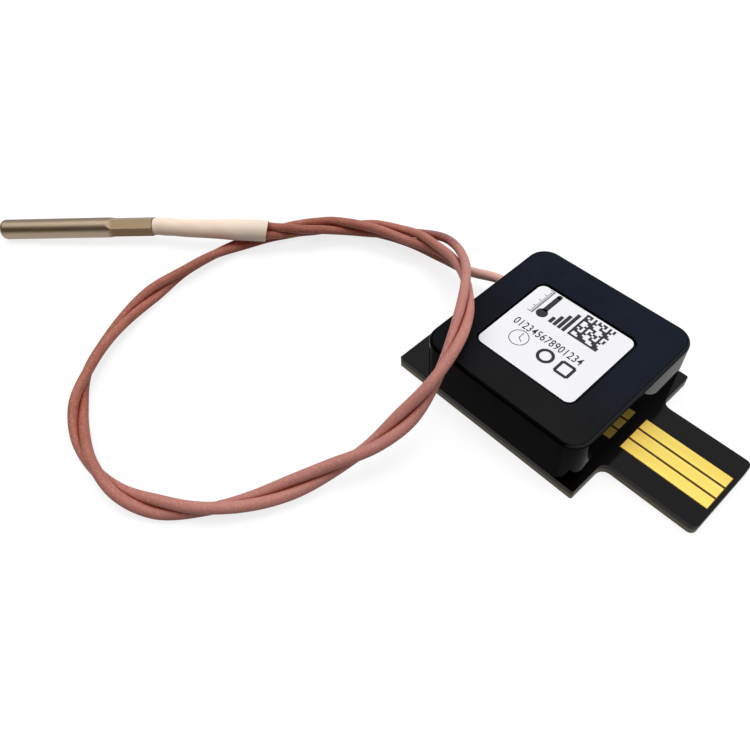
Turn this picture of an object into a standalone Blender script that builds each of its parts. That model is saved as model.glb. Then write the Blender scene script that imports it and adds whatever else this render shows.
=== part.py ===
"""Temperature data logger.

A small circuit board with a contact tongue, a black cap over the coin cell and
the electronics, and a steel probe on a pair of loosely twisted insulated wires.

Frame: +X along the tongue, +Z up, origin under the middle of board and tongue.
The board lies flat, and the wires and the probe lie on the same surface.
"""
import math

import bpy
import bmesh
from mathutils import Matrix, Vector

mm = 0.001

# Clearance between two pieces that touch, and the finest facet angle
SEAT = 0.3 * mm
ARC_STEP = math.radians(7.5)

# Coin cell, which sets the size of the cap around it
CELL_RADIUS = 10.0 * mm
CELL_HEIGHT = 3.2 * mm
CELL_CAN_WALL = 0.25 * mm
CELL_LIP = 0.8 * mm
CELL_GASKET = 0.55 * mm
CELL_ANODE = 0.6 * mm
CELL_END_ROOM = 0.95 * mm
CELL_SIDE_ROOM = 0.8 * mm

# Spring tabs that hold the cell
TAB_RISE = 1.5 * mm
TAB_SHEET = 0.2 * mm
TAB_WIDTH = 4.0 * mm
TAB_FOOT = 1.5 * mm
TAB_REACH = 2.0 * mm
TAB_LEG_GAP = 0.35 * mm

# Cap
CAP_WALL = 1.2 * mm
CAP_ROOF = 1.2 * mm
CAP_CORNER = 2.7 * mm
CAP_EDGE = 0.5 * mm
CAP_BACK_LEDGE = 3.95 * mm
CAP_FRONT_LEDGE = 0.75 * mm

# Circuit board and its contact tongue
BOARD_THICKNESS = 1.6 * mm
BOARD_CORNER = 0.3 * mm
TONGUE_LENGTH = 12.4 * mm
TONGUE_WIDTH = 12.0 * mm
TONGUE_TIP = 0.8 * mm
TONGUE_ROOT = 1.2 * mm

# Contact strips in a shallow pocket of the tongue
STRIP_COUNT = 3
STRIP_WIDTH = 1.66 * mm
STRIP_GAP = 0.28 * mm
STRIP_SHEET = 0.1 * mm
STRIP_PROUD = 0.05 * mm
STRIP_START = 0.1 * mm
STRIP_END = 0.58 * mm
STRIP_CORNER = 0.06 * mm
STRIP_OFFSET = -0.17 * mm
STRIP_MARGIN = 0.25 * mm

# Label and its recess in the roof
LABEL_LENGTH = 14.6 * mm
LABEL_WIDTH = 13.1 * mm
LABEL_SHEET = 0.12 * mm
LABEL_CORNER = 1.0 * mm
LABEL_OFFSET = (-0.05 * mm, -0.5 * mm)
LABEL_RECESS = 0.5 * mm

# Insulated wires: radius, and the route's own points in millimetres, from the
# end inside the cap to the mouth of the probe's sleeve
WIRE_RADIUS = 0.675 * mm
WIRE_STEPS = 2
WIRE_A = [
    (-14.2, 6.2, 4.6), (-19.2, 6.2, 4.6), (-24.7, 5.1, 3.7), (-30.25, 4.55, 3.55),
    (-35.6, 2.95, 3.8), (-40.8, 1.3, 4.2), (-45.8, -0.9, 3.85), (-50.55, -3.55, 2.65),
    (-54.3, -7.35, 1.25), (-56.5, -12.4, 0.7), (-57.15, -17.85, 0.75), (-57.05, -23.4, 0.8),
    (-55.7, -28.8, 0.75), (-53.95, -34, 1.6), (-51.85, -38.95, 2.3), (-49, -43.6, 2.65),
    (-45.8, -48.1, 2.25), (-41.2, -50.8, 1.05), (-35.7, -51.2, 0.7), (-30.4, -50, 0.85),
    (-25.45, -47.7, 1.95), (-20.7, -44.9, 2.55), (-17.2, -40.7, 1.95),
    (-14.75, -35.75, 1.55), (-13.4, -30.45, 2), (-12.3, -25.35, 3.75), (-11.5, -20.8, 6.8),
    (-10.5, -16.3, 9.8), (-11.2, -10.95, 11.25), (-13.75, -6.1, 10.8), (-17.6, -2.3, 9.55),
    (-21.7, 0.85, 7.85), (-26.35, 3.2, 6.4), (-31.5, 4.6, 5.4), (-36.8, 4.2, 4.5),
    (-42.05, 2.85, 3.45), (-46.15, -0.55, 2), (-49.35, -5.05, 1.95), (-52.2, -9.3, 3.3),
]
WIRE_B = [
    (-14.2, 7.3, 3.35), (-19.2, 7.3, 3.35), (-24.75, 6.1, 2.15), (-30.3, 6.05, 1.45),
    (-35.9, 5.55, 1.05), (-41.3, 3.9, 0.85), (-46.15, 1.15, 0.8), (-49.7, -3.1, 0.75),
    (-52.45, -7.9, 1.05), (-54.9, -12.9, 1), (-55.8, -18.3, 2.05), (-56, -23.8, 2.45),
    (-56.55, -29.3, 2.25), (-55.75, -34.75, 1.3), (-53.3, -39.8, 0.9), (-50, -44.2, 0.9),
    (-45.3, -47.1, 0.8), (-40.25, -49.3, 1.7), (-35.05, -50.95, 2.45), (-29.5, -51.25, 2.1),
    (-24.6, -48.95, 0.9), (-21.15, -44.6, 0.7), (-18.45, -39.75, 1.15),
    (-16.05, -34.85, 2.4), (-13.4, -30.2, 3.9), (-10.75, -25.5, 5.1), (-9.9, -20.05, 6.05),
    (-10.95, -15.1, 8.4), (-13.1, -10.45, 10.55), (-15.9, -5.8, 11.55), (-19, -1.3, 10.85),
    (-22.5, 2.45, 8.9), (-26.65, 5.4, 6.75), (-31.55, 6.65, 4.7), (-36.6, 5.4, 2.95),
    (-40.95, 2.1, 2.15), (-44.85, -1.85, 2.7), (-48.05, -6.25, 3.85), (-51.5, -10.3, 4.45),
]

# Rubber grommet where the wires leave the cap
GROMMET_WALL = 0.4 * mm
GROMMET_CORNER = 1.2 * mm
GROMMET_FLANGE = 0.6 * mm
GROMMET_NOSE = 0.8 * mm
GROMMET_LIP = 0.45 * mm
GROMMET_RISE = 0.1 * mm
GROMMET_ROOM = 0.4 * mm

# Bared ends of the wires and their solder joints
CORE_RADIUS = 0.25 * mm
CORE_RUN = 0.9 * mm
JOINT_RADIUS = 0.4 * mm
JOINT_HEIGHT = 0.5 * mm

# Probe: tip, direction, closed tube and hexagonal crimp
PROBE_TIP = (-87.1 * mm, -39.2 * mm, 1.6 * mm)
PROBE_HEADING = math.radians(41.85)
PROBE_TILT = math.radians(2.78)
TUBE_RADIUS = 1.6 * mm
TUBE_WALL = 0.25 * mm
TUBE_LENGTH = 26.05 * mm
TUBE_NOSE = 0.9 * mm
CRIMP_LENGTH = 7.05 * mm
CRIMP_RAMP = 0.8 * mm
CRIMP_FLAT = 1.35 * mm
CRIMP_BORE = 1.05 * mm

# Sleeve: straight part at the crimp, then its own route to the mouth, with the
# radius at each point, in millimetres
SLEEVE_START = (1.5 * mm, 1.36 * mm)
SLEEVE_ROUTE = [
    (-63.7, -18.9, 3.15, 1.41), (-61.0, -16.85, 3.3, 1.47), (-58.3, -14.8, 3.5, 1.58),
    (-55.7, -12.8, 3.65, 1.68), (-52.25, -10.1, 3.85, 1.7),
]
SLEEVE_SPIGOT = 6.0 * mm

# Sensor inside the tube
BEAD_RADIUS = 0.8 * mm
BEAD_LENGTH = 2.4 * mm
LEAD_RADIUS = 0.2 * mm
LEAD_SPACING = 0.9 * mm

# Small components on the board: name, place from the cell's axis, footprint,
# height, edge rounding, material
COMPONENTS = [
    ("microcontroller", 3.2, -3.6, 5.0, 5.0, 0.9, 0.1, "chip"),
    ("converter_chip", -3.6, 3.7, 3.0, 3.0, 0.8, 0.1, "chip"),
    ("memory_chip", -3.9, -3.9, 3.0, 2.0, 0.6, 0.08, "chip"),
    ("crystal", 3.6, 2.4, 3.2, 1.5, 0.8, 0.2, "tin"),
    ("capacitor_1", 0.2, 5.6, 1.6, 0.8, 0.8, 0.1, "ceramic"),
    ("capacitor_2", 2.9, 5.6, 1.6, 0.8, 0.8, 0.1, "ceramic"),
    ("resistor_1", -0.6, -7.2, 1.6, 0.8, 0.45, 0.05, "resistor"),
    ("resistor_2", -3.2, -7.2, 1.6, 0.8, 0.45, 0.05, "resistor"),
]

# Sizes that follow from those above
CAP_LENGTH = 2 * (CELL_RADIUS + CELL_END_ROOM + CAP_WALL)
CAP_WIDTH = 2 * (CELL_RADIUS + CELL_SIDE_ROOM + CAP_WALL)
BOARD_LENGTH = CAP_BACK_LEDGE + CAP_LENGTH + CAP_FRONT_LEDGE
BOARD_WIDTH = CAP_WIDTH
BOARD_BACK = -(BOARD_LENGTH + TONGUE_LENGTH) / 2
BOARD_FRONT = BOARD_BACK + BOARD_LENGTH
TONGUE_END = BOARD_FRONT + TONGUE_LENGTH
CAP_BACK = BOARD_BACK + CAP_BACK_LEDGE
CAP_FRONT = CAP_BACK + CAP_LENGTH
CELL_X = (CAP_BACK + CAP_FRONT) / 2
CAP_FOOT = BOARD_THICKNESS + SEAT
TAB_BASE = BOARD_THICKNESS + TAB_RISE
CELL_BASE = TAB_BASE + TAB_SHEET + SEAT
CELL_TOP = CELL_BASE + CELL_HEIGHT
TAB_TOP = CELL_TOP + SEAT + TAB_SHEET
ROOF_BASE = TAB_TOP + SEAT
CAP_TOP = ROOF_BASE + CAP_ROOF

MATERIALS = {
    "solder_mask": ((0.020, 0.018, 0.020), 0.28, 0.0),
    "gold": ((0.78, 0.55, 0.16), 0.30, 1.0),
    "cap": ((0.013, 0.014, 0.017), 0.30, 0.0),
    "label": ((0.84, 0.84, 0.86), 0.45, 0.0),
    "rubber": ((0.020, 0.020, 0.020), 0.70, 0.0),
    "wire": ((0.38, 0.13, 0.09), 0.45, 0.0),
    "sleeve": ((0.78, 0.66, 0.55), 0.55, 0.0),
    "steel": ((0.45, 0.40, 0.34), 0.28, 1.0),
    "nickel": ((0.60, 0.60, 0.58), 0.30, 1.0),
    "gasket": ((0.55, 0.55, 0.52), 0.50, 0.0),
    "cathode": ((0.05, 0.05, 0.05), 0.80, 0.0),
    "lithium": ((0.50, 0.50, 0.52), 0.45, 1.0),
    "copper": ((0.70, 0.32, 0.18), 0.35, 1.0),
    "solder": ((0.62, 0.62, 0.64), 0.35, 1.0),
    "chip": ((0.025, 0.025, 0.027), 0.50, 0.0),
    "tin": ((0.55, 0.55, 0.55), 0.35, 1.0),
    "ceramic": ((0.42, 0.28, 0.16), 0.50, 0.0),
    "resistor": ((0.03, 0.03, 0.04), 0.40, 0.0),
    "bead": ((0.35, 0.12, 0.05), 0.20, 0.0),
}


def clear_scene():
    for item in list(bpy.data.objects):
        bpy.data.objects.remove(item, do_unlink=True)
    for item in list(bpy.data.collections):
        bpy.data.collections.remove(item)


def new_collection(name, helper=False):
    group = bpy.data.collections.new(name)
    bpy.context.scene.collection.children.link(group)
    group.hide_render = helper
    return group


def material(name):
    found = bpy.data.materials.get(name)
    if found:
        return found
    colour, roughness, metallic = MATERIALS[name]
    made = bpy.data.materials.new(name)
    made.use_nodes = True
    shader = made.node_tree.nodes["Principled BSDF"]
    shader.inputs["Base Color"].default_value = (*colour, 1.0)
    shader.inputs["Roughness"].default_value = roughness
    shader.inputs["Metallic"].default_value = metallic
    made.diffuse_color = (*colour, 1.0)
    return made


def add_object(name, data, look, group=None):
    made = bpy.data.objects.new(name, data)
    (group or PARTS).objects.link(made)
    if look:
        data.materials.clear()
        data.materials.append(material(look))
    return made


def as_cutter(made):
    made.hide_render = True
    made.display_type = "WIRE"
    return made


def smooth(made, angle=35):
    made.data.shade_smooth()
    made.data.set_sharp_from_angle(angle=math.radians(angle))


def mesh_from_curve(made):
    """Turns a curve object into a welded mesh object of the same name and place."""
    bpy.context.view_layer.update()
    graph = bpy.context.evaluated_depsgraph_get()
    mesh = bpy.data.meshes.new_from_object(made.evaluated_get(graph))
    bm = bmesh.new()
    bm.from_mesh(mesh)
    bmesh.ops.remove_doubles(bm, verts=bm.verts, dist=0.00001)
    bm.to_mesh(mesh)
    bm.free()
    name, place, group = made.name, made.matrix_world.copy(), made.users_collection[0]
    bpy.data.objects.remove(made, do_unlink=True)
    solid = bpy.data.objects.new(name, mesh)
    group.objects.link(solid)
    solid.matrix_world = place
    return solid


def arc(centre, radius, start, end):
    """Points of an arc, both ends included."""
    count = max(2, math.ceil(abs(end - start) / ARC_STEP))
    turn = (end - start) / count
    return [
        (centre[0] + radius * math.cos(start + turn * i), centre[1] + radius * math.sin(start + turn * i))
        for i in range(count + 1)
    ]


def rounded(corners):
    """Outline through the corners (x, y, fillet radius), each one rounded, inner corners too."""
    points = []
    count = len(corners)
    for i, (x, y, radius) in enumerate(corners):
        here = Vector((x, y))
        before = (Vector(corners[i - 1][:2]) - here).normalized()
        after = (Vector(corners[(i + 1) % count][:2]) - here).normalized()
        if radius <= 0:
            points.append((x, y))
            continue
        half = before.angle(after) / 2
        centre = here + (before + after).normalized() * radius / math.sin(half)
        first = here + before * radius / math.tan(half) - centre
        last = here + after * radius / math.tan(half) - centre
        start = math.atan2(first.y, first.x)
        sweep = math.atan2(last.y, last.x) - start
        sweep = (sweep + math.pi) % (2 * math.pi) - math.pi
        points += arc(centre, radius, start, start + sweep)
    return points


def rectangle(x0, x1, y0, y1, radius):
    return rounded([(x0, y0, radius), (x1, y0, radius), (x1, y1, radius), (x0, y1, radius)])


def plate(name, outline, z0, z1, look=None, group=None):
    """A flat outline in X and Y, extruded from z0 to z1."""
    curve = bpy.data.curves.new(name, "CURVE")
    curve.dimensions = "2D"
    curve.fill_mode = "BOTH"
    curve.extrude = (z1 - z0) / 2
    spline = curve.splines.new("POLY")
    spline.points.add(len(outline) - 1)
    for point, (x, y) in zip(spline.points, outline):
        point.co = (x, y, 0, 1)
    spline.use_cyclic_u = True
    made = add_object(name, curve, None, group)
    made.location.z = (z0 + z1) / 2
    solid = mesh_from_curve(made)
    if look:
        solid.data.materials.clear()
        solid.data.materials.append(material(look))
    return solid


def wall_plate(name, outline, x0, x1, look=None, group=None):
    """A flat outline in Y and Z, extruded along X from x0 to x1."""
    solid = plate(name, outline, -(x1 - x0) / 2, (x1 - x0) / 2, look, group)
    axes = Matrix(((0, 0, 1, (x0 + x1) / 2), (1, 0, 0, 0), (0, 1, 0, 0), (0, 0, 0, 1)))
    solid.matrix_world = axes
    return solid


def side_plate(name, outline, y0, y1, look=None):
    """A flat outline in X and Z, extruded along Y from y0 to y1."""
    solid = plate(name, outline, -(y1 - y0) / 2, (y1 - y0) / 2, look)
    axes = Matrix(((1, 0, 0, 0), (0, 0, -1, (y0 + y1) / 2), (0, 1, 0, 0), (0, 0, 0, 1)))
    solid.matrix_world = axes
    return solid


def boolean(made, other, operation="DIFFERENCE"):
    step = made.modifiers.new(operation.lower(), "BOOLEAN")
    step.object = other
    step.operation = operation
    step.solver = "EXACT"
    return step


def bevel_level(made, level, width, segments):
    """Rounds the edges that lie in the mesh's own plane at this height."""
    mesh = made.data
    weights = mesh.attributes.new("bevel_weight_edge", "FLOAT", "EDGE")
    for edge in mesh.edges:
        ends = [mesh.vertices[index].co.z for index in edge.vertices]
        flat = all(abs(z - level) < 0.00001 for z in ends)
        weights.data[edge.index].value = 1.0 if flat else 0.0
    step = made.modifiers.new("rounding", "BEVEL")
    step.limit_method = "WEIGHT"
    step.width = width
    step.segments = segments
    return step


def block(name, centre, size, look, rounding=0.0):
    bpy.ops.mesh.primitive_cube_add(size=1)
    made = bpy.context.active_object
    for group in list(made.users_collection):
        group.objects.unlink(made)
    PARTS.objects.link(made)
    made.name = name
    made.data.name = name
    made.data.transform(Matrix.Diagonal((*size, 1)))
    made.location = centre
    made.data.materials.append(material(look))
    if rounding:
        step = made.modifiers.new("rounding", "BEVEL")
        step.width = rounding
        step.segments = 1
    return made


def turned(name, profile, look=None, steps=32, group=None, parent=None, place=None):
    """Turns a profile of (radius, height) about Z. A profile runs down its outer side."""
    mesh = bpy.data.meshes.new(name)
    mesh.from_pydata([(r, 0, z) for r, z in profile], [(i, i + 1) for i in range(len(profile) - 1)], [])
    made = add_object(name, mesh, look, group)
    if profile[0] == profile[-1]:
        bm = bmesh.new()
        bm.from_mesh(mesh)
        bmesh.ops.remove_doubles(bm, verts=bm.verts, dist=0.000001)
        bm.to_mesh(mesh)
        bm.free()
    step = made.modifiers.new("turn", "SCREW")
    step.axis = "Z"
    step.steps = steps
    step.render_steps = steps
    step.use_merge_vertices = True
    step.merge_threshold = 0.000005
    step.use_smooth_shade = True
    if parent:
        made.parent = parent
    if place:
        made.location = place
    return made


def route_curve(route, steps):
    """Points on a smooth curve through the route: Catmull-Rom, with `steps` points a span."""
    last = len(route) - 1
    slopes = []
    for i in range(last + 1):
        low, high = max(i - 1, 0), min(i + 1, last)
        slopes.append((route[high] - route[low]) / (high - low))
    points = []
    for i in range(last):
        for k in range(steps):
            s = k / steps
            points.append(
                (2 * s**3 - 3 * s**2 + 1) * route[i]
                + (s**3 - 2 * s**2 + s) * slopes[i]
                + (3 * s**2 - 2 * s**3) * route[i + 1]
                + (s**3 - s**2) * slopes[i + 1]
            )
    points.append(route[last])
    return points


def tube(name, points, radius, look, parent=None):
    """A round wire through the points, with filled caps."""
    curve = bpy.data.curves.new(name, "CURVE")
    curve.dimensions = "3D"
    curve.bevel_depth = radius
    curve.bevel_resolution = 2
    curve.use_fill_caps = True
    spline = curve.splines.new("POLY")
    spline.points.add(len(points) - 1)
    for target, point in zip(spline.points, points):
        target.co = (*point, 1)
    spline.use_smooth = True
    made = add_object(name, curve, look)
    if parent:
        made.parent = parent
    return made


def make_board():
    front, half, tongue = BOARD_FRONT, BOARD_WIDTH / 2, TONGUE_WIDTH / 2
    outline = rounded([
        (BOARD_BACK, -half, BOARD_CORNER),
        (front, -half, BOARD_CORNER),
        (front, -tongue, TONGUE_ROOT),
        (TONGUE_END, -tongue, TONGUE_TIP),
        (TONGUE_END, tongue, TONGUE_TIP),
        (front, tongue, TONGUE_ROOT),
        (front, half, BOARD_CORNER),
        (BOARD_BACK, half, BOARD_CORNER),
    ])
    board = plate("circuit_board", outline, 0, BOARD_THICKNESS, "solder_mask")
    pitch = STRIP_WIDTH + STRIP_GAP
    first = STRIP_OFFSET - pitch * (STRIP_COUNT - 1) / 2
    start, end = BOARD_FRONT + STRIP_START, TONGUE_END - STRIP_END
    strip_top = BOARD_THICKNESS + STRIP_PROUD
    floor = strip_top - STRIP_SHEET - SEAT
    reach = STRIP_WIDTH / 2 + STRIP_MARGIN
    last = first + pitch * (STRIP_COUNT - 1)
    pocket = plate(
        "strip_pocket",
        rectangle(start - STRIP_MARGIN, end + STRIP_MARGIN, first - reach, last + reach, STRIP_MARGIN),
        floor, BOARD_THICKNESS + 1 * mm, group=CUTTERS)
    boolean(board, as_cutter(pocket))
    for i in range(STRIP_COUNT):
        y = first + pitch * i
        outline = rectangle(start, end, y - STRIP_WIDTH / 2, y + STRIP_WIDTH / 2, STRIP_CORNER)
        plate(f"contact_strip_{i + 1}", outline, strip_top - STRIP_SHEET, strip_top, "gold")


def grommet_outline(lip, foot):
    """Arch outline in Y and Z around both wires; lip widens it, foot is its lower edge."""
    y = [WIRE_A[0][1] * mm, WIRE_B[0][1] * mm]
    z = [WIRE_A[0][2] * mm, WIRE_B[0][2] * mm]
    reach = WIRE_RADIUS + GROMMET_ROOM + GROMMET_WALL + lip
    corner = GROMMET_CORNER + lip
    return rounded([
        (min(y) - reach, foot, 0), (max(y) + reach, foot, 0),
        (max(y) + reach, max(z) + reach, corner), (min(y) - reach, max(z) + reach, corner),
    ])


def make_grommet():
    inner, outer = CAP_BACK + CAP_WALL + SEAT, CAP_BACK - SEAT
    foot = BOARD_THICKNESS + SEAT
    nose, end = outer - GROMMET_NOSE, inner + GROMMET_FLANGE
    grommet = wall_plate("cable_grommet", grommet_outline(GROMMET_LIP, foot), nose, outer, "rubber")
    neck = wall_plate(
        "grommet_neck", grommet_outline(0, foot + GROMMET_RISE),
        outer - GROMMET_NOSE / 2, inner + GROMMET_FLANGE / 2, group=CUTTERS)
    front = wall_plate("grommet_front", grommet_outline(GROMMET_LIP, foot), inner, end, group=CUTTERS)
    boolean(grommet, as_cutter(neck), "UNION")
    boolean(grommet, as_cutter(front), "UNION")
    a, b = Vector(WIRE_A[0][1:]) * mm, Vector(WIRE_B[0][1:]) * mm
    across = math.atan2(b.y - a.y, b.x - a.x)
    radius = WIRE_RADIUS + GROMMET_ROOM
    slot = arc(b, radius, across - math.pi / 2, across + math.pi / 2)
    slot += arc(a, radius, across + math.pi / 2, across + 3 * math.pi / 2)
    hole = wall_plate("wire_passage", slot, nose - 1 * mm, end + 1 * mm, group=CUTTERS)
    boolean(grommet, as_cutter(hole))


def make_cap():
    half = CAP_WIDTH / 2
    outer = rectangle(CAP_BACK, CAP_FRONT, -half, half, CAP_CORNER)
    cap = plate("cap", outer, CAP_FOOT, CAP_TOP, "cap")
    bevel_level(cap, (CAP_TOP - CAP_FOOT) / 2, CAP_EDGE, 6)
    inside = rectangle(
        CAP_BACK + CAP_WALL, CAP_FRONT - CAP_WALL, -half + CAP_WALL, half - CAP_WALL,
        CAP_CORNER - CAP_WALL)
    hollow = plate("cap_hollow", inside, CAP_FOOT - 1 * mm, ROOF_BASE, group=CUTTERS)
    boolean(cap, as_cutter(hollow))
    x, y = CELL_X + LABEL_OFFSET[0], LABEL_OFFSET[1]
    length, width = LABEL_LENGTH / 2, LABEL_WIDTH / 2
    recess = plate(
        "label_recess",
        rectangle(
            x - length - SEAT, x + length + SEAT, y - width - SEAT, y + width + SEAT,
            LABEL_CORNER + SEAT),
        CAP_TOP - LABEL_RECESS, CAP_TOP + 1 * mm, group=CUTTERS)
    boolean(cap, as_cutter(recess))
    arch = grommet_outline(SEAT, CAP_FOOT - 1 * mm)
    notch = wall_plate(
        "grommet_notch", arch, CAP_BACK - 1 * mm, CAP_BACK + CAP_WALL + 0.5 * mm, group=CUTTERS)
    boolean(cap, as_cutter(notch))
    smooth(cap)
    label_base = CAP_TOP - LABEL_RECESS + SEAT
    plate(
        "label", rectangle(x - length, x + length, y - width, y + width, LABEL_CORNER),
        label_base, label_base + LABEL_SHEET, "label")


def make_cell():
    r, wall = CELL_RADIUS, CELL_CAN_WALL
    low, top = CELL_BASE + wall / 2, CELL_TOP
    turned("cell_can", [
        (0, top - wall), (r - wall, top - wall), (r - wall, low + wall), (r - CELL_LIP, low + wall),
        (r - CELL_LIP, low), (r - wall / 2, low), (r, low + wall / 2),
        (r, top - wall), (r - wall, top), (0, top),
    ][::-1], "nickel", place=(CELL_X, 0, 0))
    gasket_out = r - wall - SEAT
    gasket_in = gasket_out - CELL_GASKET
    gasket_low, gasket_high = low + wall + SEAT, top - wall - SEAT
    turned("cell_gasket", [
        (gasket_out, gasket_high), (gasket_out, gasket_low), (gasket_in, gasket_low),
        (gasket_in, gasket_high), (gasket_out, gasket_high),
    ], "gasket", place=(CELL_X, 0, 0))
    lid = gasket_in - SEAT
    lid_high = gasket_high - wall
    turned("cell_lid", [
        (0, CELL_BASE + wall), (lid - wall, CELL_BASE + wall), (lid - wall, lid_high), (lid, lid_high),
        (lid, CELL_BASE + wall), (lid - wall, CELL_BASE), (0, CELL_BASE),
    ], "nickel", place=(CELL_X, 0, 0))
    pellet = lid - wall - SEAT
    anode_low = CELL_BASE + wall + SEAT
    for name, low, high, look in (
        ("cell_anode", anode_low, anode_low + CELL_ANODE, "lithium"),
        ("cell_cathode", anode_low + CELL_ANODE + SEAT, top - wall - SEAT, "cathode"),
    ):
        turned(name, [(0, high), (pellet, high), (pellet, low), (0, low)], look, place=(CELL_X, 0, 0))


def tab_outline(side, level, leg):
    """Bent strip in X and Z: over or under the cell, down outside it, and a foot on the board."""
    t, foot = TAB_SHEET, BOARD_THICKNESS + SEAT
    x = [CELL_X + side * reach for reach in (-TAB_REACH, leg + t, leg, leg + t - TAB_FOOT)]
    points = [
        (x[0], level), (x[1], level), (x[1], foot), (x[3], foot), (x[3], foot + t),
        (x[2], foot + t), (x[2], level - t), (x[0], level - t),
    ]
    return points if side < 0 else points[::-1]


def make_tabs():
    leg = CELL_RADIUS + TAB_LEG_GAP
    half = TAB_WIDTH / 2
    side_plate("upper_cell_tab", tab_outline(1, TAB_TOP, leg), -half, half, "nickel")
    side_plate("lower_cell_tab", tab_outline(-1, TAB_BASE + TAB_SHEET, leg), -half, half, "nickel")


def make_components():
    base = BOARD_THICKNESS + SEAT
    for name, x, y, length, width, height, rounding, look in COMPONENTS:
        size = (length * mm, width * mm, height * mm)
        centre = (CELL_X + x * mm, y * mm, base + size[2] / 2)
        block(name, centre, size, look, rounding * mm)


def make_wires():
    base = BOARD_THICKNESS + SEAT
    for letter, route in (("a", WIRE_A), ("b", WIRE_B)):
        points = route_curve([Vector(point) * mm for point in route], WIRE_STEPS)
        tube(f"probe_wire_{letter}", points, WIRE_RADIUS, "wire")
        start = points[0] + Vector((SEAT, 0, 0))
        foot = Vector((start.x + CORE_RUN, start.y, base + JOINT_HEIGHT + SEAT))
        bend = Vector((foot.x, start.y, start.z))
        turn = bend.lerp(start, 0.15).lerp(foot, 0.12)
        core = [start, start.lerp(bend, 0.5), turn, bend.lerp(foot, 0.5), foot]
        tube(f"wire_core_{letter}", core, CORE_RADIUS, "copper")
        turned(f"solder_joint_{letter}", [
            (0, JOINT_HEIGHT), (JOINT_RADIUS * 0.5, JOINT_HEIGHT), (JOINT_RADIUS * 0.75, JOINT_HEIGHT * 0.4),
            (JOINT_RADIUS, 0), (0, 0),
        ], "solder", 16, place=(foot.x, foot.y, base))


def make_probe():
    axis = bpy.data.objects.new("probe_axis", None)
    PARTS.objects.link(axis)
    axis.empty_display_size = 5 * mm
    axis.location = PROBE_TIP
    axis.rotation_euler = (0, math.pi / 2 - PROBE_TILT, PROBE_HEADING)

    bore = TUBE_RADIUS - TUBE_WALL
    crimp = TUBE_LENGTH - CRIMP_LENGTH
    nose = [
        (TUBE_RADIUS - TUBE_NOSE + TUBE_NOSE * math.cos(a), TUBE_NOSE - TUBE_NOSE * math.sin(a))
        for a in (math.radians(15 * i) for i in range(7))
    ]
    profile = [
        (0, TUBE_WALL), (TUBE_RADIUS - TUBE_NOSE, TUBE_WALL), (bore, TUBE_NOSE), (bore, crimp - CRIMP_RAMP),
        (CRIMP_BORE, crimp), (CRIMP_BORE, TUBE_LENGTH), (TUBE_RADIUS, TUBE_LENGTH),
    ]
    turned("probe_tube", profile + nose + [(0, 0)], "steel", 36, parent=axis)
    hexagon = CRIMP_FLAT / math.cos(math.pi / 6)
    wide = 2 * TUBE_RADIUS
    flare = CRIMP_RAMP * (wide - hexagon) / (2 * (TUBE_RADIUS - CRIMP_FLAT))
    press = turned("crimp_press", [
        (0, TUBE_LENGTH + 1 * mm), (hexagon, TUBE_LENGTH + 1 * mm), (hexagon, crimp),
        (wide, crimp - flare), (wide, -1 * mm), (0, -1 * mm),
    ], None, 6, CUTTERS, axis)
    boolean(bpy.data.objects["probe_tube"], as_cutter(press), "INTERSECT")

    # The sleeve starts square to the tube, and its spigot fills the crimp
    sleeve_start = TUBE_LENGTH + SEAT
    bpy.context.view_layer.update()
    run, thick = SLEEVE_START
    route = [(*(axis.matrix_world @ Vector((0, 0, z))), thick) for z in (sleeve_start, sleeve_start + run)]
    route += [tuple(value * mm for value in point) for point in SLEEVE_ROUTE]
    points = route_curve([Vector(point) for point in route], 3)
    tube("cable_sleeve", [point[:3] for point in points], 1.0, "sleeve")
    sleeve = bpy.data.objects["cable_sleeve"]
    sleeve.data.bevel_resolution = 4
    for target, point in zip(sleeve.data.splines[0].points, points):
        target.radius = point[3]
    sleeve = mesh_from_curve(sleeve)
    inner = CRIMP_BORE - SEAT
    spigot = turned("sleeve_spigot", [
        (0, sleeve_start + run / 2), (inner, sleeve_start + run / 2), (inner, sleeve_start - SLEEVE_SPIGOT),
        (0, sleeve_start - SLEEVE_SPIGOT),
    ], None, 16, CUTTERS, axis)
    boolean(sleeve, as_cutter(spigot), "UNION")

    bead_low = TUBE_WALL + SEAT
    turns = [math.pi * i / 8 for i in range(1, 8)]
    bead = [(BEAD_RADIUS * math.sin(t), bead_low + BEAD_LENGTH / 2 * (1 + math.cos(t))) for t in turns]
    turned("sensor_bead", [(0, bead_low + BEAD_LENGTH)] + bead + [(0, bead_low)], "bead", 16, parent=axis)
    for number, side in ((1, -1), (2, 1)):
        x = side * LEAD_SPACING / 2
        low, high = bead_low + BEAD_LENGTH + SEAT, sleeve_start - SLEEVE_SPIGOT - SEAT
        tube(f"sensor_lead_{number}", [Vector((x, 0, low)), Vector((x, 0, high))], LEAD_RADIUS, "copper", axis)


clear_scene()
PARTS = new_collection("temperature_data_logger")
CUTTERS = new_collection("cutters", helper=True)
make_board()
make_cap()
make_grommet()
make_cell()
make_tabs()
make_components()
make_wires()
make_probe()
for piece in PARTS.objects:
    if piece.type == "MESH" and piece.name != "cap":
        smooth(piece)
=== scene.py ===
"""Temperature data logger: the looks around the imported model.

A circuit board with a gold contact tongue under a black cap, two twisted wires
and a steel probe, lying on a white studio floor.
"""
import math

import bmesh
import bpy
from mathutils import Matrix, Vector


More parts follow.
